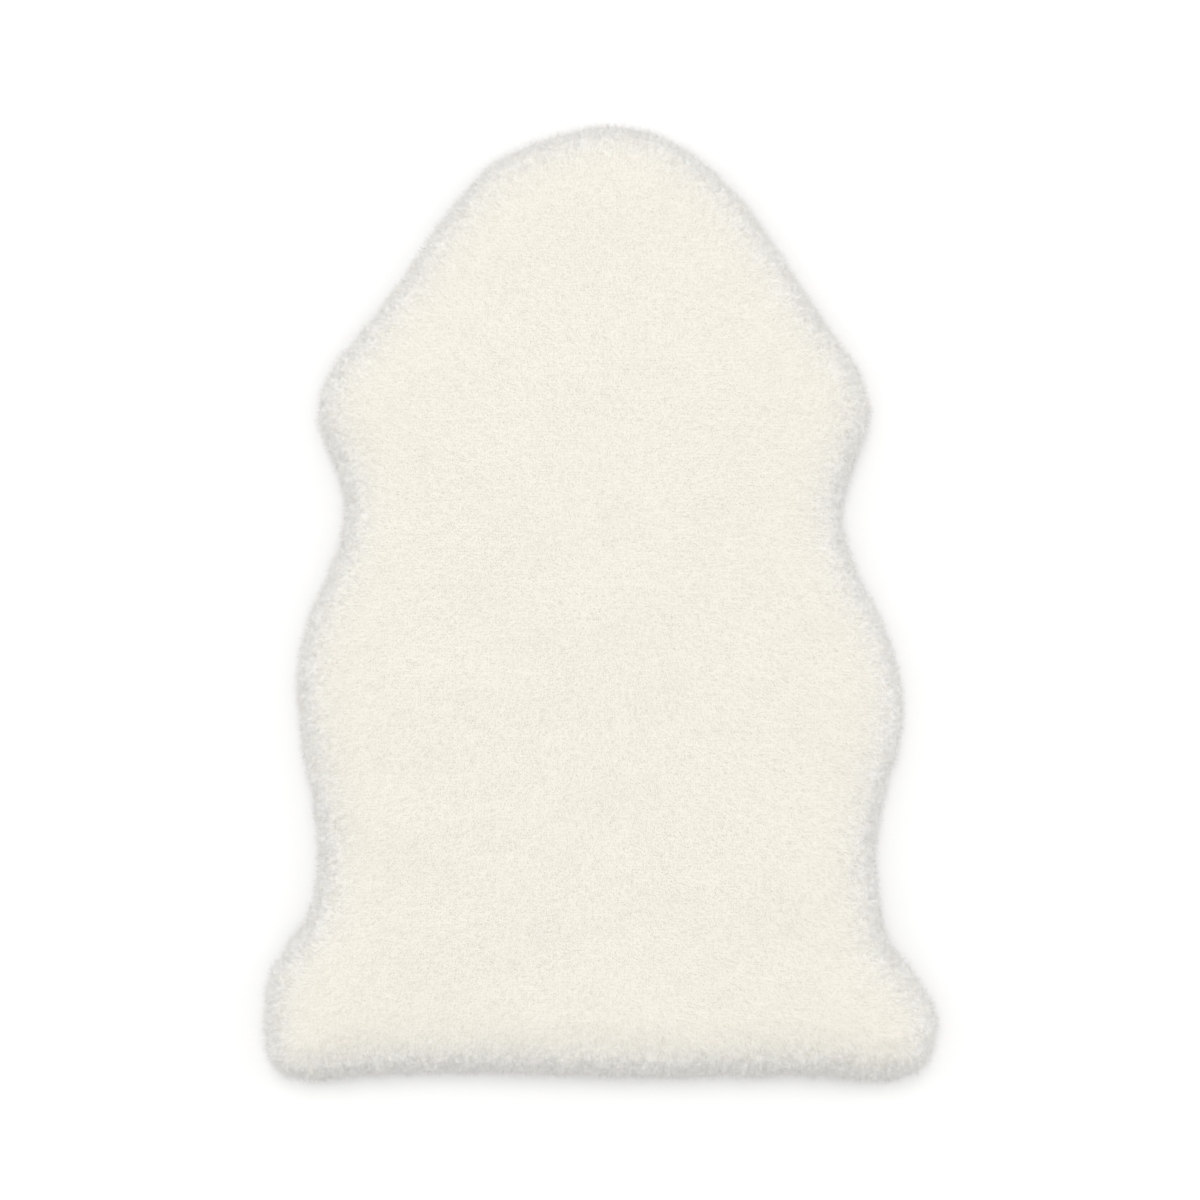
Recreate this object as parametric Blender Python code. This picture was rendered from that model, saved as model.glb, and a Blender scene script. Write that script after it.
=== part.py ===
"""A sheepskin rug: one whole tanned pelt that lies flat, wool side up.

Metres, +Z up, the head end towards +Y and the tail edge towards -Y. The origin is on the surface that the rug lies
on, under the middle of its outer box. Tables are in millimetres and are measured from about the same point.

The pelt is one solid. Its underside is the flat skin, whose trimmed edge stands back under the wool. The wool rises
from there to its widest line, rounds over a soft shoulder and closes in a gently lumpy top. Locks of wool stand out
of its side all the way round.
"""

import math
import random
from collections import namedtuple

import bmesh
import bpy
import numpy as np
from mathutils import Vector, kdtree, noise
from mathutils.geometry import delaunay_2d_cdt

MM = 0.001

# ---- Driving dimensions ---------------------------------------------------------------------------------------------

SKIN_THICKNESS = 3 * MM
WOOL_TOP = 50 * MM
LOCK_COUNT = 286
LOCK_REACH = 11 * MM
TOP_POINT_PITCH = 19 * MM

# The outline that an average lock reaches. Each row crosses the pelt, from the tail to the head.
Section = namedtuple("Section", "place y_mm left_mm right_mm")
SECTIONS = (
    Section("hind feet, lower", -458, -328, 326),
    Section("hind feet", -431, -332, 334),
    Section("hind feet, widest", -409, -334, 336),
    Section("hind feet, upper", -379, -330, 321),
    Section("hocks, lower", -354, -320, 301),
    Section("hocks, upper", -330, -302, 285),
    Section("thighs, lower", -300, -286, 280),
    Section("thighs", -255, -280, 275),
    Section("thighs, upper", -196, -286, 283),
    Section("flanks, lower", -147, -295, 298),
    Section("flanks, widest", -97, -302, 303),
    Section("flanks, upper", -48, -298, 293),
    Section("ribs, lower", -3, -285, 274),
    Section("ribs, upper", 47, -263, 250),
    Section("waist", 91, -254, 244),
    Section("fore legs, lower", 131, -264, 254),
    Section("fore legs, widest", 180, -283, 271),
    Section("fore legs, upper", 220, -276, 264),
    Section("shoulders, lower", 259, -247, 241),
    Section("shoulders, upper", 309, -208, 206),
    Section("neck, lower", 358, -175, 177),
    Section("neck, upper", 403, -142, 143),
    Section("head, lower", 438, -109, 108),
    Section("head, upper", 459, -67, 78),
)

# The outline's two ends, each from the left to the right.
EndPoint = namedtuple("EndPoint", "x_mm y_mm")
TAIL_EDGE = (
    EndPoint(-306, -474),
    EndPoint(-229, -472),
    EndPoint(-149, -469),
    EndPoint(-41, -472),
    EndPoint(63, -474),
    EndPoint(143, -472),
    EndPoint(217, -473),
    EndPoint(294, -475),
)
CROWN = (
    EndPoint(-18, 473),
    EndPoint(32, 475),
)

# The pelt's side in cross-section, from the floor up: how far each line stands in from the line that the locks' roots
# reach, its height, how much of the wool's lumps shows there, and how far its points stray.
RimLine = namedtuple("RimLine", "place inset_mm height_mm lump_share stray_mm")
RIM_LINES = (
    RimLine("skin, lower edge", 13, 0, 0, 0),
    RimLine("skin, upper edge", 12.5, SKIN_THICKNESS / MM, 0, 0),
    RimLine("lock roots, lower edge", 2.5, 4.5, 0, 1),
    RimLine("lock roots, upper edge", 0, 26, 0.3, 1.5),
    RimLine("shoulder, lower", 6.5, 34, 0.4, 1),
    RimLine("shoulder, middle", 15, 40, 0.6, 0.5),
    RimLine("shoulder, upper", 24, 44.3, 0.8, 0),
    RimLine("edge of the top", 37, 47.8, 1, 0),
)

# The lumps of the wool, as smooth noise of two sizes, and the small unevenness of single clumps.
Lump = namedtuple("Lump", "size_mm height_mm")
LUMPS = (
    Lump(150, 5),
    Lump(58, 3.2),
)
CLUMP_HEIGHT = 0.8 * MM

# The wool parts along the back in a shallow furrow.
FURROW_DEPTH = 1.8 * MM
FURROW_HALF_WIDTH = 16 * MM
FURROW_X = 8 * MM
FURROW_ENDS_Y = (-200 * MM, 120 * MM)
FURROW_FADE = 90 * MM

# The locks stand side by side, one on each face of the band between their root lines. A lock has four sides, which
# draw in to its waist and then to its point. It sways its own way along the rim, and most locks droop.
LOCK_WAIST_AT = 0.55
LOCK_WAIST_WIDTH = 0.72
LOCK_SHORTEST = 0.6
LOCK_SWAY = 2.5 * MM
LOCK_DROOPS = (-8 * MM, 1 * MM)

# Insets are made in steps. After each, the points slide along the ring towards even gaps and corners flatten a
# little, in a few rounds.
INSET_STEP = 3 * MM
INSET_ROUNDS = 4
INSET_SLIDE = 0.5
INSET_FLATTEN = 0.05

WOOL_COLOUR = (0.879, 0.847, 0.761, 1)
SKIN_COLOUR = (0.74, 0.62, 0.45, 1)


# ---- Outline --------------------------------------------------------------------------------------------------------


def outline_corners():
    """The outline's hand-chosen points in metres, counter-clockwise from the tail edge's left end."""
    right_side = [(s.right_mm, s.y_mm) for s in SECTIONS]
    left_side = [(s.left_mm, s.y_mm) for s in reversed(SECTIONS)]
    corners = [*TAIL_EDGE, *right_side, *reversed(CROWN), *left_side]
    return [Vector((x, y, 0)) * MM for x, y in corners]


def smooth_closed_curve(corners):
    """Points of one smooth closed curve through the corners, from a Bezier spline with automatic handles."""
    curve = bpy.data.curves.new("outline_guide", "CURVE")
    curve.dimensions = "3D"
    curve.resolution_u = 12
    spline = curve.splines.new("BEZIER")
    spline.bezier_points.add(len(corners) - 1)
    spline.use_cyclic_u = True
    for point, corner in zip(spline.bezier_points, corners):
        point.co = corner
        point.handle_left_type = "AUTO"
        point.handle_right_type = "AUTO"
    guide = bpy.data.objects.new("outline_guide", curve)
    bpy.context.scene.collection.objects.link(guide)
    bpy.context.view_layer.update()
    mesh = bpy.data.meshes.new_from_object(guide)
    points = np.array([v.co[:2] for v in mesh.vertices])
    bpy.data.objects.remove(guide)
    bpy.data.curves.remove(curve)
    bpy.data.meshes.remove(mesh)
    return points


def evenly_spaced(points, count):
    """The closed curve through points, as count points at equal distances along it."""
    closed = np.vstack([points, points[:1]])
    steps = np.linalg.norm(np.diff(closed, axis=0), axis=1)
    travelled = np.concatenate([[0], np.cumsum(steps)])
    wanted = np.linspace(0, travelled[-1], count, endpoint=False)
    return np.column_stack([np.interp(wanted, travelled, closed[:, axis]) for axis in (0, 1)])


def outward(ring):
    """The unit normals of a counter-clockwise ring, in its plane."""
    along = np.roll(ring, -1, axis=0) - np.roll(ring, 1, axis=0)
    along /= np.linalg.norm(along, axis=1)[:, None]
    return np.column_stack([along[:, 1], -along[:, 0]])


def inset(ring, distance):
    """The ring moved inwards in small relaxed steps, so that no tight corner folds over itself."""
    steps = math.ceil(distance / INSET_STEP)
    for _ in range(steps):
        ring = ring - outward(ring) * distance / steps
        for _ in range(INSET_ROUNDS):
            to_middle = (np.roll(ring, 1, axis=0) + np.roll(ring, -1, axis=0)) / 2 - ring
            out = outward(ring)
            across = out * (to_middle * out).sum(axis=1)[:, None]
            ring = ring + INSET_SLIDE * (to_middle - across) + INSET_FLATTEN * across
    return ring


# ---- Lumps of the wool ----------------------------------------------------------------------------------------------


def furrow(x, y):
    """How deep the parting along the back is at a place."""
    low, high = FURROW_ENDS_Y
    past_end = max(low - y, y - high, 0)
    lengthwise = max(0, 1 - past_end / FURROW_FADE)
    return FURROW_DEPTH * lengthwise * math.exp(-(((x - FURROW_X) / FURROW_HALF_WIDTH) ** 2))


def lumps(x, y):
    """How far the wool at a place stands over its plain height."""
    height = -furrow(x, y)
    for layer, lump in enumerate(LUMPS):
        size = lump.size_mm * MM
        height += lump.height_mm * MM * noise.noise((x / size, y / size, layer + 0.5))
    return height


# ---- Building the pelt ----------------------------------------------------------------------------------------------


def add_ring(bm, roots, line, draw):
    """The vertices of one line of the rim. Each strays a little along the rim and up or down."""
    ring = inset(roots, line.inset_mm * MM)
    verts = []
    for (x, y), (out_x, out_y) in zip(ring, outward(ring)):
        along = draw.uniform(-1, 1) * line.stray_mm * MM
        up = draw.uniform(-1, 1) * line.stray_mm * MM
        height = line.height_mm * MM + line.lump_share * lumps(x, y) + up
        verts.append(bm.verts.new((x - out_y * along, y + out_x * along, height)))
    return verts


def add_band(bm, lower, upper):
    """The faces between two rings of the same count, facing out."""
    faces = []
    for i in range(len(lower)):
        faces.append(bm.faces.new((lower[i - 1], lower[i], upper[i], upper[i - 1])))
    return faces


def top_places(ring):
    """A triangular grid of places inside a ring, none nearer to it than about half a pitch."""
    near = kdtree.KDTree(len(ring))
    for index, (x, y) in enumerate(ring):
        near.insert((x, y, 0), index)
    near.balance()
    normals = outward(ring)
    (low_x, low_y), (high_x, high_y) = ring.min(axis=0), ring.max(axis=0)
    row_pitch = TOP_POINT_PITCH * math.sqrt(3) / 2
    places = []
    for row, y in enumerate(np.arange(low_y, high_y, row_pitch)):
        shift = (row % 2) * TOP_POINT_PITCH / 2
        for x in np.arange(low_x + shift, high_x, TOP_POINT_PITCH):
            _, index, distance = near.find((x, y, 0))
            is_inside = np.dot(ring[index] - (x, y), normals[index]) > 0
            if is_inside and distance > 0.6 * TOP_POINT_PITCH:
                places.append((x, y))
    return places


def add_top(bm, edge_verts, draw):
    """The lumpy top inside the innermost ring."""
    ring = np.array([v.co[:2] for v in edge_verts])
    places = [Vector(place) for place in [*ring, *top_places(ring)]]
    boundary = [list(range(len(ring)))]
    points, _, triangles, sources, _, _ = delaunay_2d_cdt(places, [], boundary, 1, 1e-6)
    verts = []
    for (x, y), source in zip(points, sources):
        if source and source[0] < len(ring):
            verts.append(edge_verts[source[0]])
        else:
            clump = draw.uniform(-1, 1) * CLUMP_HEIGHT
            verts.append(bm.verts.new((x, y, WOOL_TOP + lumps(x, y) + clump)))
    for triangle in triangles:
        bm.faces.new([verts[i] for i in triangle])


def raise_locks(bm, faces, draw):
    """Each of the faces becomes a lock: its root, a waist and a point."""
    stems = bmesh.ops.extrude_discrete_faces(bm, faces=faces)["faces"]
    for stem in stems:
        stem.normal_update()
        out = stem.normal.copy()
        along = Vector((-out.y, out.x, 0)).normalized()
        bend = along * draw.uniform(-LOCK_SWAY, LOCK_SWAY)
        bend.z += draw.uniform(*LOCK_DROOPS)
        length = LOCK_REACH * draw.uniform(LOCK_SHORTEST, 1)
        root = stem.calc_center_median()
        waist = root + out * length * LOCK_WAIST_AT + bend * LOCK_WAIST_AT**2
        for vert in stem.verts:
            vert.co = waist + (vert.co - root) * LOCK_WAIST_WIDTH
        point = bmesh.ops.poke(bm, faces=[stem])["verts"][0]
        point.co = root + out * length + bend


def build_sheepskin():
    """The whole pelt as one closed mesh."""
    draw = random.Random(7)
    bm = bmesh.new()
    outline = evenly_spaced(smooth_closed_curve(outline_corners()), LOCK_COUNT)
    roots = inset(outline, LOCK_REACH * (LOCK_SHORTEST + 1) / 2)
    rings = [add_ring(bm, roots, line, draw) for line in RIM_LINES]
    bands = {}
    for line, lower, upper in zip(RIM_LINES, rings, rings[1:]):
        bands[line.place] = add_band(bm, lower, upper)
    skin = bm.faces.new(list(reversed(rings[0])))
    for face in [skin, *bands["skin, lower edge"]]:
        face.material_index = 1
    add_top(bm, rings[-1], draw)
    raise_locks(bm, bands["lock roots, lower edge"], draw)
    mesh = bpy.data.meshes.new("sheepskin")
    bm.to_mesh(mesh)
    bm.free()
    return mesh


def centre_on_origin(mesh):
    """Moves the mesh so that the origin is under the middle of its box, on the surface."""
    places = np.array([v.co for v in mesh.vertices])
    low, high = places.min(axis=0), places.max(axis=0)
    middle = Vector(((low[0] + high[0]) / 2, (low[1] + high[1]) / 2, low[2]))
    for vert in mesh.vertices:
        vert.co -= middle


# ---- Materials ------------------------------------------------------------------------------------------------------


def plain_material(name, colour, roughness, sheen):
    material = bpy.data.materials.new(name)
    material.use_nodes = True
    shader = material.node_tree.nodes["Principled BSDF"]
    shader.inputs["Base Color"].default_value = colour
    shader.inputs["Roughness"].default_value = roughness
    shader.inputs["Metallic"].default_value = 0
    shader.inputs["Sheen Weight"].default_value = sheen
    return material


def main():
    for obj in list(bpy.data.objects):
        bpy.data.objects.remove(obj)
    mesh = build_sheepskin()
    centre_on_origin(mesh)
    mesh.materials.append(plain_material("ivory_wool", WOOL_COLOUR, roughness=0.95, sheen=0.4))
    mesh.materials.append(plain_material("tanned_skin", SKIN_COLOUR, roughness=0.8, sheen=0.1))
    mesh.shade_smooth()
    mesh.set_sharp_from_angle(angle=math.radians(50))
    sheepskin = bpy.data.objects.new("sheepskin", mesh)
    bpy.context.scene.collection.objects.link(sheepskin)


main()
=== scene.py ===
"""A sheepskin rug that lies flat: its tanned skin, the body of its fleece, and the tips of its wool.

Metres, +Z up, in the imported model's frame: the head end towards +Y, the tail edge towards -Y, and the
floor at z = 0.
"""

import math
from collections import namedtuple
from types import SimpleNamespace

import bmesh
import bpy
import numpy as np
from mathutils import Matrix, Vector, kdtree, noise


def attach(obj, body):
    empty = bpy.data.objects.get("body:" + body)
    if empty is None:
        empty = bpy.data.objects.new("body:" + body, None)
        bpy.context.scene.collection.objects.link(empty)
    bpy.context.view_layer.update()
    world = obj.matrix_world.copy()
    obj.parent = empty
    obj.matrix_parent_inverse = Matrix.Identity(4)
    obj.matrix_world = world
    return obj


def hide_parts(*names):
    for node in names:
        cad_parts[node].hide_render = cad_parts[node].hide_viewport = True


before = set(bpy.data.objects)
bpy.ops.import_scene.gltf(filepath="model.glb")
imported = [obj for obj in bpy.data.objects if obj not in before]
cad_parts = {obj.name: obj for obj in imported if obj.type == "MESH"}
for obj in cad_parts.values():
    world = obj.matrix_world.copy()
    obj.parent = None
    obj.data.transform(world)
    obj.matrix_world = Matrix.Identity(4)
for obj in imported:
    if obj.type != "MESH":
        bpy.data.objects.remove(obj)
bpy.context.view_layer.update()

MM = 0.001

# ---- Driving sizes -------------------------------------------------------------------------------

HIDE_THICKNESS = 2 * MM
FLEECE_PITCH = 2.8 * MM  # the side of a face of the fleece's body
SOFTENING = 20  # rounds of smoothing that round off the solid's locks
SOFTENING_STEP = 0.5  # how far each round moves a point towards the middle of its neighbours
EDGE_WIDTH = 65 * MM  # the rounded shoulder all round, seen from above
WALL_NORMAL = 0.25  # points whose normal rises or falls less than this make the pelt's widest line

# How far the fleece's body lies under the solid's surface, to leave room for the wool's tips.
FIELD_REACH = 1.2 * MM
RIM_REACH = 2.0 * MM

# Where the wool grows, by the height of the fleece and the rise of its normal: none of it grows at the first
# of DOWN_NORMALS and all of it at the second. No wool is rim wool at the first of RIM_NORMALS, and all of it
# is at the second.
LOWEST_ROOT = 1.5 * MM
DOWN_NORMALS = (-1.0, -0.75)
RIM_NORMALS = (0.985, 0.635)
SKIN_OVERLAP = 0.3 * MM  # how far the flat underside of the fleece's body lies inside the skin

# The wool is combed away from the middle of the back on all sides, with loose swirls.
PARTING_Y = 51 * MM
PARTING_FLOW = 0.6
PARTING_REACH = 70 * MM
SIDEWAYS_FLOW = 0.9
SWIRL_SIZE = 110 * MM
SWIRL_FLOW = 0.6
RIM_FALL = 0.8  # how far the rim's wool turns down for each step outwards
LEAST_GUIDE = 0.3  # where the combed ways nearly cancel out, the wool stands more upright

# How far the comb leans the wool from upright, as a tangent, in the middle and at the rim.
FIELD_LEAN = 0.4
RIM_LEAN = 0.9
SPINE_WIDTH = 100 * MM  # the strip along the back in which the wool turns from one side to the other
LIFT_HEIGHT = 6 * MM  # below this height the wool turns less and less down, and lies out over the floor
FLOOR_GAP = 4 * MM  # tips that would dip below this height are eased up over the floor

CLUMP_SIZE = 6 * MM
CLUMP_SPREAD = 0.9  # how far a clump falls away from its top, in clump sizes
CLUMP_HEIGHT = 0.2 * MM
RIM_CLUMP_HEIGHT = 2.4 * MM

TIP_FLATNESS = 0.55  # a tip's height beside its width
TIP_ROLL = 0.35  # how far a tip may roll to either side, in radians
TIP_LENGTHS = (0.7, 1.1)  # the shortest and the longest tip, beside its layer's length
TIP_WIDTHS = (0.7, 1.15)
TIP_TONES = (0.98, 1.0)
ROOT_CROWDING = 2.6  # roots tried on each square of the spacing, before those that are too near are left out

# Places where the wool lies in faint streaks: the streaks' middle, how far they spread, their direction from
# +X, their pitch and their height.
STREAK_STRETCH = 5  # how much longer a streak is than wide
Streaks = namedtuple("Streaks", "place x_mm y_mm radius_mm turn_deg pitch_mm height_mm")
STREAKS = (
    Streaks("left shoulder", -150, 230, 110, -40, 9, 1.3),
    Streaks("left flank", -130, -110, 130, 5, 7, 0.6),
    Streaks("right of the neck", 130, 330, 90, 45, 7, 0.6),
    Streaks("right thigh", 240, -370, 70, 70, 8, 0.9),
)

# Single loose tufts and dimples of the wool.
Tuft = namedtuple("Tuft", "place x_mm y_mm radius_mm height_mm")
TUFTS = (
    Tuft("right thigh, upper", 251, -379, 12, 2.6),
    Tuft("right hind foot", 286, -429, 13, 2.8),
    Tuft("middle of the back", 9, 51, 9, -1.2),
)

# The wool's visible ends, in layers that each cover the whole of their zone. Pull draws a tip to the middle
# of its clump, bend curves it further the way it is combed, and droop curves it down. Stray turns it any way,
# and soft is how far its shading follows the fleece under it.
Wool = namedtuple("Wool", "name zone spacing_mm length_mm radius_mm pull bend droop stray soft seed")
WOOL_LAYERS = (
    Wool("wool_tips_under", "field", 2.35, 4.5, 0.29, 0.15, 0.2, 0, 0.8, 0.35, 3),
    Wool("wool_tips_over", "field", 2.35, 6, 0.25, 0.15, 0.2, 0, 0.9, 0.35, 4),
    Wool("rim_wool_under", "rim", 2.0, 6, 0.27, 1.1, 0.3, 0.2, 0.5, 0.7, 5),
    Wool("rim_wool_over", "rim", 2.0, 9.5, 0.2, 1.1, 0.3, 0.3, 0.5, 0.7, 6),
)

MAP_SIDE = 1.12  # the square that the wool's colour map covers, in metres
UNDERSIDE_MAP = (0.075, 0.5, 0.2)  # where the fleece's hidden underside lies on that map, and its scale

# The wool's ivory drifts between two tones. On the shoulder and side it is painted cooler and greyer in
# patches, as painted shade.
IVORY_TONES = ((0.887, 0.857, 0.774, 1), (0.894, 0.864, 0.785, 1))
RIM_SHADE_TONE = (0.9, 0.89, 0.872, 1)
SUEDE_TONES = ((0.62, 0.5, 0.36, 1), (0.8, 0.7, 0.56, 1))
FLOOR_TONE = (0.98, 0.98, 0.98, 1)
FLOOR_HALF_SIDE = 6

# Patterns of smooth noise: how many features to a metre, how many finer layers they hold and how strong those
# are.
Pattern = namedtuple("Pattern", "scale detail roughness")
IVORY_DRIFT = Pattern(9.0, 2.0, 0.5)
# The next pattern breaks the painted shade on the shoulder and side into patches.
RIM_SHADE_PATCHES = Pattern(90.0, 2.0, 0.5)
WOOL_MOTTLE = Pattern(260.0, 2.0, 0.5)
WOOL_GRAIN = Pattern(520.0, 3.0, 0.6)
SUEDE_BLOTCHES = Pattern(14.0, 4.0, 0.6)
SUEDE_NAP = Pattern(700.0, 3.0, 0.7)

# The photographed square and where the camera stands.
PHOTO_SIDE = 1.188
PHOTO_CENTRE = Vector((-0.001, -0.0005, 0.02))
CAMERA_DISTANCE = 3.0
CAMERA_ELEVATION = math.radians(87)
SENSOR_WIDTH_MM = 36

# A pale room with soft boxes over the rug, at both its sides and towards its head end.
Light = namedtuple("Light", "name place side_m watts colour")
LIGHTS = (
    Light("overhead_light", (0, 0, 6), 3.6, 33, (1, 0.99, 0.97)),
    Light("left_light", (-4.5, 1, 2.2), 3.0, 35, (1, 0.99, 0.97)),
    Light("right_light", (4.5, 1, 2.2), 3.0, 35, (1, 0.99, 0.97)),
    Light("key_light", (-0.6, 3.6, 6), 3.0, 62, (1, 0.985, 0.96)),
)
ROOM_STRENGTH = 0.815


# ---- Helpers for nodes ---------------------------------------------------------------------------


class Tree:
    """A node tree that is being built.

    Values fill a node's active inputs in order, and None leaves one as it is.
    """

    def __init__(self, tree):
        self.tree = tree

    def set_input(self, socket, value):
        if isinstance(value, bpy.types.NodeSocket):
            self.tree.links.new(value, socket)
        elif value is not None:
            socket.default_value = value

    def add(self, kind, *values, **settings):
        node = self.tree.nodes.new(kind)
        for name, value in settings.items():
            setattr(node, name, value)
        active = [socket for socket in node.inputs if socket.enabled]
        for socket, value in zip(active, values):
            self.set_input(socket, value)
        outputs = {s.name.lower().replace(" ", "_"): s for s in node.outputs if s.enabled}
        return SimpleNamespace(node=node, **outputs)

    def maths(self, operation, *values):
        return self.add("ShaderNodeMath", *values, operation=operation).value

    def vector(self, operation, *values):
        return self.add("ShaderNodeVectorMath", *values, operation=operation).vector

    def scaled(self, vector, scale):
        return self.add("ShaderNodeVectorMath", vector, scale, operation="SCALE").vector

    def noise(self, place, pattern):
        return self.add("ShaderNodeTexNoise", place, *pattern).fac

    def blend(self, share, low, high):
        return self.add("ShaderNodeMix", share, low, high, data_type="RGBA").result

    def ranged(self, value, from_low, from_high, to_low, to_high):
        return self.add("ShaderNodeMapRange", value, from_low, from_high, to_low, to_high).result

    def bumped(self, shader, height, strength, distance):
        """Lays a fine grain over a material's shading."""
        bump = self.add("ShaderNodeBump", strength, distance)
        self.set_input(bump.node.inputs["Height"], height)
        self.set_input(shader["Normal"], bump.normal)


# ---- Studio --------------------------------------------------------------------------------------


def make_camera():
    data = bpy.data.cameras.new("camera")
    data.sensor_width = SENSOR_WIDTH_MM
    data.lens = SENSOR_WIDTH_MM * CAMERA_DISTANCE / PHOTO_SIDE
    camera = bpy.data.objects.new("camera", data)
    back = Vector((0, -math.cos(CAMERA_ELEVATION), math.sin(CAMERA_ELEVATION)))
    camera.location = PHOTO_CENTRE + back * CAMERA_DISTANCE
    camera.rotation_euler = (math.pi / 2 - CAMERA_ELEVATION, 0, 0)
    bpy.context.scene.collection.objects.link(camera)
    bpy.context.scene.camera = camera


def soft_box(name, place, side, watts, colour):
    data = bpy.data.lights.new(name, "AREA")
    data.shape = "SQUARE"
    data.size = side
    data.energy = watts
    data.color = colour
    light = bpy.data.objects.new(name, data)
    light.location = place
    light.rotation_euler = Vector(place).to_track_quat("Z", "Y").to_euler()
    bpy.context.scene.collection.objects.link(light)


def make_studio():
    world = bpy.data.worlds.new("studio")
    world.use_nodes = True
    background = world.node_tree.nodes["Background"]
    background.inputs["Color"].default_value = (1, 1, 1, 1)
    background.inputs["Strength"].default_value = ROOM_STRENGTH
    bpy.context.scene.world = world
    for light in LIGHTS:
        soft_box(*light)
    bpy.context.scene.view_settings.view_transform = "Standard"

    mesh = bpy.data.meshes.new("floor")
    bm = bmesh.new()
    bmesh.ops.create_grid(bm, x_segments=1, y_segments=1, size=FLOOR_HALF_SIDE)
    bm.to_mesh(mesh)
    bm.free()
    floor = bpy.data.objects.new("floor", mesh)
    bpy.context.scene.collection.objects.link(floor)
    material = bpy.data.materials.new("pale_floor")
    material.use_nodes = True
    shader = material.node_tree.nodes["Principled BSDF"]
    shader.inputs["Base Color"].default_value = FLOOR_TONE
    shader.inputs["Roughness"].default_value = 0.9
    floor.data.materials.append(material)


# ---- Materials -----------------------------------------------------------------------------------


def new_material(name):
    material = bpy.data.materials.new(name)
    material.use_nodes = True
    tree = Tree(material.node_tree)
    return material, tree, material.node_tree.nodes["Principled BSDF"].inputs


def wool_material(name, is_body):
    """Ivory wool, a little deeper at the roots, with painted shade on the shoulder all round: cooler, greyer
    and darker there, in patches.
    """
    material, tree, shader = new_material(name)
    place = tree.add("ShaderNodeTexCoord").object
    edge = tree.add("ShaderNodeAttribute", attribute_name="edge").fac
    warm = tree.blend(tree.noise(place, IVORY_DRIFT), *IVORY_TONES)
    # Painted shade: towards the rim the ivory is painted cooler and greyer in patches, and its mottle darker.
    shade_patches = tree.ranged(tree.noise(place, RIM_SHADE_PATCHES), 0.35, 0.65, 0.6, 1.0)
    shade_share = tree.maths("MULTIPLY", tree.maths("POWER", edge, 2.0), shade_patches)
    ivory_with_shade = tree.blend(shade_share, warm, RIM_SHADE_TONE)
    darkest_mottle_and_shade = tree.maths("MULTIPLY_ADD", edge, -0.065, 0.99)
    shade = tree.ranged(tree.noise(place, WOOL_MOTTLE), 0.3, 0.7, darkest_mottle_and_shade, 1.0)
    if not is_body:
        along = tree.add("ShaderNodeAttribute", attribute_name="along").fac
        tone = tree.add("ShaderNodeAttribute", attribute_name="tone").fac
        from_root = tree.ranged(along, 0.0, 0.7, 0.985, 1.0)
        shade = tree.maths("MULTIPLY", tree.maths("MULTIPLY", shade, from_root), tone)
    colour = tree.vector("MULTIPLY", ivory_with_shade, shade)
    tree.set_input(shader["Base Color"], colour)
    shader["Roughness"].default_value = 0.95
    shader["Specular IOR Level"].default_value = 0.2
    shader["Sheen Weight"].default_value = 0.1
    shader["Sheen Roughness"].default_value = 0.6
    if is_body:
        tree.bumped(shader, tree.noise(place, WOOL_GRAIN), 0.35, 0.6 * MM)
    return material


def suede_material():
    """The tanned underside: a pale, slightly blotched nap."""
    material, tree, shader = new_material("suede_skin")
    place = tree.add("ShaderNodeTexCoord").object
    nap = tree.noise(place, SUEDE_NAP)
    tone = tree.blend(tree.noise(place, SUEDE_BLOTCHES), *SUEDE_TONES)
    shade = tree.ranged(nap, 0.3, 0.7, 0.9, 1.0)
    tree.set_input(shader["Base Color"], tree.vector("MULTIPLY", tone, shade))
    tree.bumped(shader, nap, 0.5, 0.4 * MM)
    shader["Roughness"].default_value = 0.9
    shader["Sheen Weight"].default_value = 0.3
    return material


# ---- The body of the fleece ----------------------------------------------------------------------


def merged_copy(node):
    """The solid's mesh with its loose triangles joined."""
    bm = bmesh.new()
    bm.from_mesh(node.data)
    bmesh.ops.remove_doubles(bm, verts=bm.verts, dist=0.01 * MM)
    mesh = bpy.data.meshes.new("pelt_form")
    bm.to_mesh(mesh)
    bm.free()
    return mesh


def shown(name, mesh):
    obj = bpy.data.objects.new(name, mesh)
    bpy.context.scene.collection.objects.link(obj)
    return obj


def evaluated_mesh(obj):
    """The object's mesh with its modifiers applied. The object is removed."""
    depsgraph = bpy.context.evaluated_depsgraph_get()
    mesh = bpy.data.meshes.new_from_object(obj.evaluated_get(depsgraph))
    bpy.data.objects.remove(obj)
    return mesh


def even_mesh(form):
    """The pelt's form in small even faces, softened."""
    obj = shown("pelt_form", form)
    remesh = obj.modifiers.new("even faces", "REMESH")
    remesh.mode = "VOXEL"
    remesh.voxel_size = FLEECE_PITCH
    soften = obj.modifiers.new("soften", "SMOOTH")
    soften.factor = SOFTENING_STEP
    soften.iterations = SOFTENING
    return evaluated_mesh(obj)


def places_of(mesh):
    places = np.empty(len(mesh.vertices) * 3)
    mesh.vertices.foreach_get("co", places)
    return places.reshape(-1, 3)


def normals_of(mesh):
    normals = np.empty(len(mesh.vertices) * 3)
    mesh.vertices.foreach_get("normal", normals)
    return normals.reshape(-1, 3)


def smooth_step(x):
    x = np.clip(x, 0, 1)
    return x * x * (3 - 2 * x)


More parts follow.
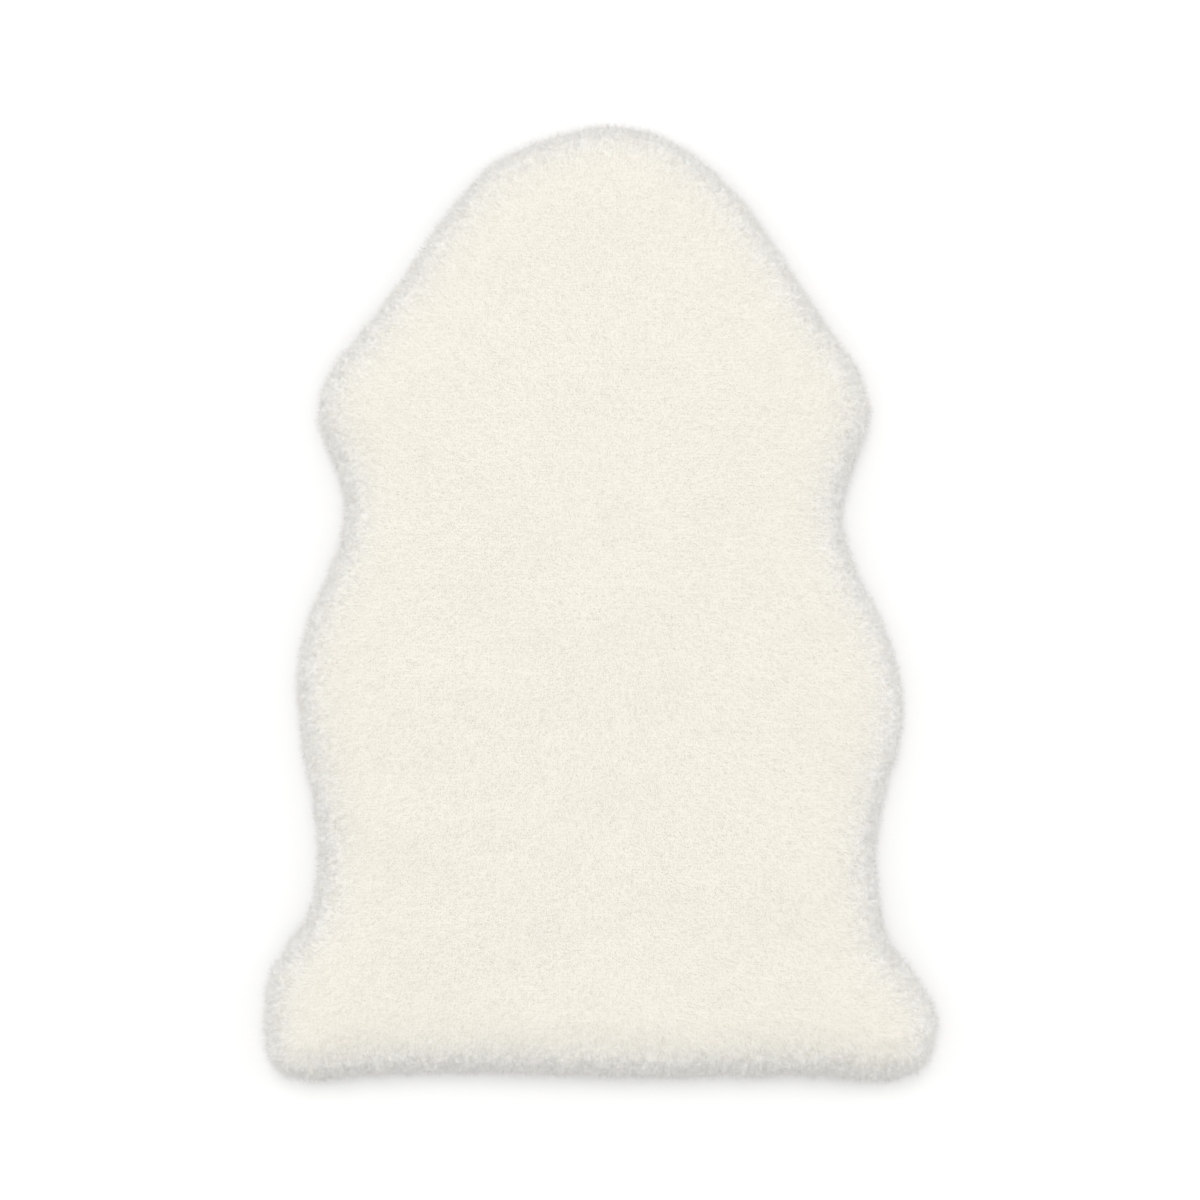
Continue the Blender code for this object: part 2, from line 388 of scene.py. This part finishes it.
def edge_facts(places, normals):
    """How far in from the pelt's widest line each point is, seen from above, and the way out to it."""
    wall = np.flatnonzero(np.abs(normals[:, 2]) < WALL_NORMAL)
    tree = kdtree.KDTree(len(wall))
    for index in wall:
        tree.insert((*places[index, :2], 0), index)
    tree.balance()
    distance = np.empty(len(places))
    way_out = np.empty((len(places), 2))
    for index, (x, y, _) in enumerate(places):
        _, nearest, distance[index] = tree.find((x, y, 0))
        way_out[index] = normals[nearest, :2]
    way_out /= np.maximum(np.linalg.norm(way_out, axis=1), 1e-6)[:, None]
    return distance, way_out


def noise_field(places, size, layer):
    """Smooth noise over the pelt, about from -1 to 1, with features of that size."""
    return np.array([noise.noise((x / size, y / size, z / size + 10 * layer)) for x, y, z in places])


def clump_relief(places):
    """Small rounded clumps, one for each cell of a loose pattern: 0 between them and 1 on top."""
    scale = 1 / CLUMP_SIZE
    distances = [noise.voronoi(Vector(place) * scale)[0][0] for place in places]
    return 1 - smooth_step(np.array(distances) / CLUMP_SPREAD)


def streak_relief(places):
    """The faint streaks of the wool."""
    height = np.zeros(len(places))
    x, y = places[:, 0], places[:, 1]
    for layer, s in enumerate(STREAKS):
        off_x, off_y = x - s.x_mm * MM, y - s.y_mm * MM
        share = smooth_step(1 - np.hypot(off_x, off_y) / (s.radius_mm * MM))
        cos, sin = math.cos(math.radians(s.turn_deg)), math.sin(math.radians(s.turn_deg))
        along, across = off_x * cos + off_y * sin, off_y * cos - off_x * sin
        stretched = np.column_stack([along / STREAK_STRETCH, across, np.zeros(len(places))])
        height += share * s.height_mm * MM * noise_field(stretched, s.pitch_mm * MM, 20 + layer)
    return height


def tuft_relief(places):
    """Single tufts and dimples."""
    height = np.zeros(len(places))
    for tuft in TUFTS:
        off = np.hypot(places[:, 0] - tuft.x_mm * MM, places[:, 1] - tuft.y_mm * MM)
        height += tuft.height_mm * MM * smooth_step(1 - off / (tuft.radius_mm * MM))
    return height


def comb_directions(places, normals, edge, way_out):
    """Which way the wool lies along the surface at each point, by how far it leans."""
    aside = SIDEWAYS_FLOW * np.tanh(places[:, 0] / SPINE_WIDTH)
    aside += SWIRL_FLOW * noise_field(places, SWIRL_SIZE, 1)
    lengthwise = PARTING_FLOW * np.tanh((places[:, 1] - PARTING_Y) / PARTING_REACH)
    lengthwise += SWIRL_FLOW * noise_field(places, SWIRL_SIZE, 2)
    field = np.column_stack([aside, lengthwise, np.zeros(len(places))])
    rim = np.column_stack([way_out, -RIM_FALL * smooth_step(places[:, 2] / LIFT_HEIGHT)])
    share = edge[:, None]
    guide = field * (1 - share) + rim * share
    guide -= normals * (guide * normals).sum(1)[:, None]
    guide /= np.maximum(np.linalg.norm(guide, axis=1), LEAST_GUIDE)[:, None]
    return guide * (FIELD_LEAN + (RIM_LEAN - FIELD_LEAN) * share)


def store(mesh, name, kind, values):
    attribute = mesh.attributes.new(name, kind, "POINT")
    attribute.data.foreach_set("vector" if kind == "FLOAT_VECTOR" else "value", np.ravel(values))


def close_underside(mesh, level):
    """Makes the flat underside one face, and maps the body flat from above with the underside beside it."""
    bm = bmesh.new()
    bm.from_mesh(mesh)
    flat = [face for face in bm.faces if all(vert.co.z < level + 0.01 * MM for vert in face.verts)]
    bmesh.ops.delete(bm, geom=flat, context="FACES")
    rim = [edge for edge in bm.edges if edge.is_boundary]
    under = set(bmesh.ops.holes_fill(bm, edges=rim, sides=0)["faces"])
    for face in under:
        if face.normal.z > 0:
            face.normal_flip()
    skirt = bm.verts.layers.float_vector["skirt"]
    on_map = bm.loops.layers.uv.new("OFBake")
    middle_u, middle_v, scale = UNDERSIDE_MAP
    for face in bm.faces:
        for loop in face.loops:
            if face in under:
                x, y, _ = loop.vert.co
                loop[on_map].uv = (middle_u + x * scale, middle_v + y * scale)
            else:
                x, y, _ = loop.vert[skirt]
                loop[on_map].uv = (x / MAP_SIDE + 0.5, y / MAP_SIDE + 0.5)
    bm.to_mesh(mesh)
    bm.free()


def make_fleece(node):
    """The fleece's body, with what the wool layers read from it stored on its points."""
    mesh = even_mesh(merged_copy(node))
    places, normals = places_of(mesh), normals_of(mesh)
    distance, way_out = edge_facts(places, normals)
    edge = smooth_step(1 - distance / EDGE_WIDTH)
    down, aside = DOWN_NORMALS
    is_wool = smooth_step((normals[:, 2] - down) / (aside - down)) * (places[:, 2] > LOWEST_ROOT)
    clump_height = CLUMP_HEIGHT + (RIM_CLUMP_HEIGHT - CLUMP_HEIGHT) * edge
    relief = clump_height * clump_relief(places) + streak_relief(places) + tuft_relief(places)
    reach = FIELD_REACH + (RIM_REACH - FIELD_REACH) * edge
    moved = places + normals * ((relief - reach) * is_wool)[:, None]
    level = HIDE_THICKNESS - SKIN_OVERLAP
    moved[:, 2] = np.maximum(moved[:, 2], level)
    mesh.vertices.foreach_set("co", moved.ravel())
    skirt = moved.copy()
    skirt[:, :2] += way_out * ((moved[:, 2].max() - moved[:, 2]) * edge)[:, None]
    skirt[:, 2] = 0
    store(mesh, "edge", "FLOAT", edge)
    first, full = RIM_NORMALS
    rim = smooth_step((first - normals[:, 2]) / (first - full))
    store(mesh, "field", "FLOAT", is_wool * (1 - rim))
    store(mesh, "rim", "FLOAT", is_wool * rim)
    store(mesh, "lift", "FLOAT", smooth_step(moved[:, 2] / LIFT_HEIGHT))
    store(mesh, "comb", "FLOAT_VECTOR", comb_directions(places, normals, edge, way_out))
    store(mesh, "skirt", "FLOAT_VECTOR", skirt)
    close_underside(mesh, level)
    mesh.shade_smooth()
    mesh.update()
    return shown("fleece", mesh)


# ---- The wool's tips -----------------------------------------------------------------------------


def wool_tree():
    """Sets tapering tips over a zone of the fleece, combed and drawn together in clumps, as a mesh."""
    group = bpy.data.node_groups.new("wool_tips", "GeometryNodeTree")
    face = group.interface
    face.new_socket("Geometry", in_out="INPUT", socket_type="NodeSocketGeometry")
    kinds = {
        "Zone": "String", "Spacing": "Float", "Length": "Float", "Radius": "Float", "Clump": "Float",
        "Pull": "Float", "Bend": "Float", "Droop": "Float", "Stray": "Float", "Soft": "Float",
        "Seed": "Int", "Wool": "Material",
    }
    for name, kind in kinds.items():
        face.new_socket(name, in_out="INPUT", socket_type="NodeSocket" + kind)
    face.new_socket("Geometry", in_out="OUTPUT", socket_type="NodeSocketGeometry")

    tree = Tree(group)
    size = tree.add("NodeGroupInput")

    def attribute(name, kind="FLOAT_VECTOR"):
        return tree.add("GeometryNodeInputNamedAttribute", name, data_type=kind).attribute

    def random(low, high, seed):
        return tree.add("FunctionNodeRandomValue", low, high, None, seed, data_type="FLOAT").value

    def kept(geometry, name, kind, value, domain="POINT"):
        node = "GeometryNodeStoreNamedAttribute"
        return tree.add(node, geometry, None, name, value, data_type=kind, domain=domain).geometry

    # The roots, and which way each tip points.
    square = tree.maths("MULTIPLY", size.spacing, size.spacing)
    density = tree.maths("DIVIDE", ROOT_CROWDING, square)
    zone = attribute(size.zone, "FLOAT")
    roots = tree.add(
        "GeometryNodeDistributePointsOnFaces", size.geometry, None, size.spacing, density, zone, size.seed,
        distribute_method="POISSON",
    )
    place = tree.add("GeometryNodeInputPosition").position
    cell = tree.add("ShaderNodeTexVoronoi", place, tree.maths("DIVIDE", 1.0, size.clump)).position
    to_clump = tree.vector("SUBTRACT", cell, place)
    pull = tree.scaled(to_clump, tree.maths("DIVIDE", size.pull, size.length))
    each_way = tree.add(
        "FunctionNodeRandomValue", (-1, -1, -0.2), (1, 1, 0.2), None, size.seed, data_type="FLOAT_VECTOR"
    ).value
    stray = tree.scaled(each_way, size.stray)
    upright = tree.vector("ADD", roots.normal, attribute("comb"))
    way = tree.vector("NORMALIZE", tree.vector("ADD", tree.vector("ADD", upright, pull), stray))
    length = tree.maths("MULTIPLY", size.length, random(*TIP_LENGTHS, 11))
    width = tree.maths("MULTIPLY", size.radius, random(*TIP_WIDTHS, 12))

    # What each tip's points need once they are loose from their root.
    sideways = tree.scaled(attribute("comb"), size.bend)
    fall = tree.maths("MULTIPLY", size.droop, attribute("lift", "FLOAT"))
    down = tree.add("ShaderNodeCombineXYZ", 0.0, 0.0, tree.maths("MULTIPLY", fall, -1.0)).vector
    bend = tree.scaled(tree.vector("ADD", sideways, down), length)
    points = kept(roots.points, "bend", "FLOAT_VECTOR", bend)
    points = kept(points, "width", "FLOAT", width)
    points = kept(points, "tone", "FLOAT", random(*TIP_TONES, 14))
    points = kept(points, "facing", "FLOAT_VECTOR", roots.normal)

    # One tip, a unit long, with its own place along it. Its flat side faces outwards.
    cone = tree.add("GeometryNodeMeshCone", 3, 1, 1, 0.0, 1.0, 1.0, fill_type="NGON").mesh
    height = tree.add("ShaderNodeSeparateXYZ", place).z
    flatter = tree.vector("MULTIPLY", place, (TIP_FLATNESS, 1, 1))
    cone = tree.add("GeometryNodeSetPosition", cone, None, flatter).geometry
    cone = kept(cone, "along", "FLOAT", height)
    cone = kept(cone, "spread", "FLOAT_VECTOR", tree.vector("MULTIPLY", place, (1, 1, 0)))

    turned = tree.add("FunctionNodeAlignRotationToVector", None, 1.0, way, axis="Z").rotation
    inwards = tree.scaled(roots.normal, -1.0)
    flat = tree.add(
        "FunctionNodeAlignRotationToVector", turned, 1.0, inwards, axis="X", pivot_axis="Z"
    ).rotation
    roll = tree.add("ShaderNodeCombineXYZ", 0.0, 0.0, random(-TIP_ROLL, TIP_ROLL, 13)).vector
    turned = tree.add("FunctionNodeRotateRotation", flat, roll, rotation_space="LOCAL").rotation
    scale = tree.add("ShaderNodeCombineXYZ", width, width, length).vector
    tips = tree.add("GeometryNodeInstanceOnPoints", points, None, cone, None, None, turned, scale).instances
    tips = tree.add("GeometryNodeRealizeInstances", tips).geometry

    along = attribute("along", "FLOAT")
    curved = tree.scaled(attribute("bend"), tree.maths("MULTIPLY", along, along))
    tips = tree.add("GeometryNodeSetPosition", tips, None, None, curved).geometry

    # Nothing dips into the floor: a low point's height eases out towards zero.
    spot = tree.add("ShaderNodeSeparateXYZ", place)
    low = tree.maths("DIVIDE", tree.maths("MINIMUM", spot.z, FLOOR_GAP), FLOOR_GAP)
    eased = tree.maths("MULTIPLY", tree.maths("EXPONENT", tree.maths("SUBTRACT", low, 1.0)), FLOOR_GAP)
    above = tree.maths("MAXIMUM", tree.maths("SUBTRACT", spot.z, FLOOR_GAP), 0.0)
    lifted = tree.add("ShaderNodeCombineXYZ", spot.x, spot.y, tree.maths("ADD", eased, above)).vector
    tips = tree.add("GeometryNodeSetPosition", tips, None, lifted).geometry

    # The tips lie on the wool's colour map where their roots do. They catch the light partly as the fleece
    # there does.
    spread = tree.scaled(attribute("spread"), attribute("width", "FLOAT"))
    on_map = tree.scaled(tree.vector("ADD", attribute("skirt"), spread), 1 / MAP_SIDE)
    on_map = tree.vector("ADD", on_map, (0.5, 0.5, 0))
    tips = kept(tips, "OFBake", "FLOAT2", on_map, "CORNER")
    tips = tree.add("GeometryNodeSetShadeSmooth", tips).geometry
    own = tree.add("GeometryNodeInputNormal").normal
    soft = tree.add("ShaderNodeMix", size.soft, own, attribute("facing"), data_type="VECTOR").result
    tips = tree.add("GeometryNodeSetMeshNormal", tips, soft, mode="FREE").mesh
    for name in ("bend", "width", "spread", "skirt", "comb", "field", "rim", "lift", "facing"):
        tips = tree.add("GeometryNodeRemoveAttribute", tips, name).geometry
    tips = tree.add("GeometryNodeSetMaterial", tips, None, size.wool).geometry
    tree.add("NodeGroupOutput", tips)
    return group


def make_wool(layer, fleece, group, material):
    """One layer of the wool's tips over the fleece."""
    base = shown(layer.name, fleece.data)
    modifier = base.modifiers.new("wool", "NODES")
    modifier.node_group = group
    values = {
        "Zone": layer.zone, "Spacing": layer.spacing_mm * MM, "Length": layer.length_mm * MM,
        "Radius": layer.radius_mm * MM, "Clump": CLUMP_SIZE, "Pull": layer.pull, "Bend": layer.bend,
        "Droop": layer.droop, "Stray": layer.stray, "Soft": layer.soft, "Seed": layer.seed,
        "Wool": material,
    }
    for item in group.interface.items_tree:
        if item.name in values:
            modifier[item.identifier] = values[item.name]
    mesh = evaluated_mesh(base)
    mesh.name = layer.name
    return shown(layer.name, mesh)


# ---- The skin underneath -------------------------------------------------------------------------


def make_hide(node):
    """The tanned skin: the flat underside of the solid as a thin closed sheet."""
    bm = bmesh.new()
    bm.from_mesh(merged_copy(node))
    above = [v for v in bm.verts if v.co.z > 0.05 * MM]
    bmesh.ops.delete(bm, geom=above, context="VERTS")
    area = sum(face.calc_area() for face in bm.faces)
    mesh = bpy.data.meshes.new("hide")
    bm.to_mesh(mesh)
    bm.free()
    obj = shown("hide", mesh)
    thick = obj.modifiers.new("thickness", "SOLIDIFY")
    thick.thickness = HIDE_THICKNESS
    thick.offset = -1
    mesh = evaluated_mesh(obj)
    return shown("hide", mesh), area


# ---- Putting it together -------------------------------------------------------------------------

make_camera()
make_studio()

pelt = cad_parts["sheepskin"]
fleece = make_fleece(pelt)
tips_material = wool_material("ivory_wool_tips", is_body=False)
group = wool_tree()
wool = [make_wool(layer, fleece, group, tips_material) for layer in WOOL_LAYERS]
fleece.data.materials.append(wool_material("ivory_wool", is_body=True))
hide, hide_area = make_hide(pelt)
hide.data.materials.append(suede_material())

for piece in (fleece, *wool):
    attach(piece, "root")
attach(hide, "root")
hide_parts("sheepskin")
hide_low, hide_high = places_of(hide.data).min(0), places_of(hide.data).max(0)
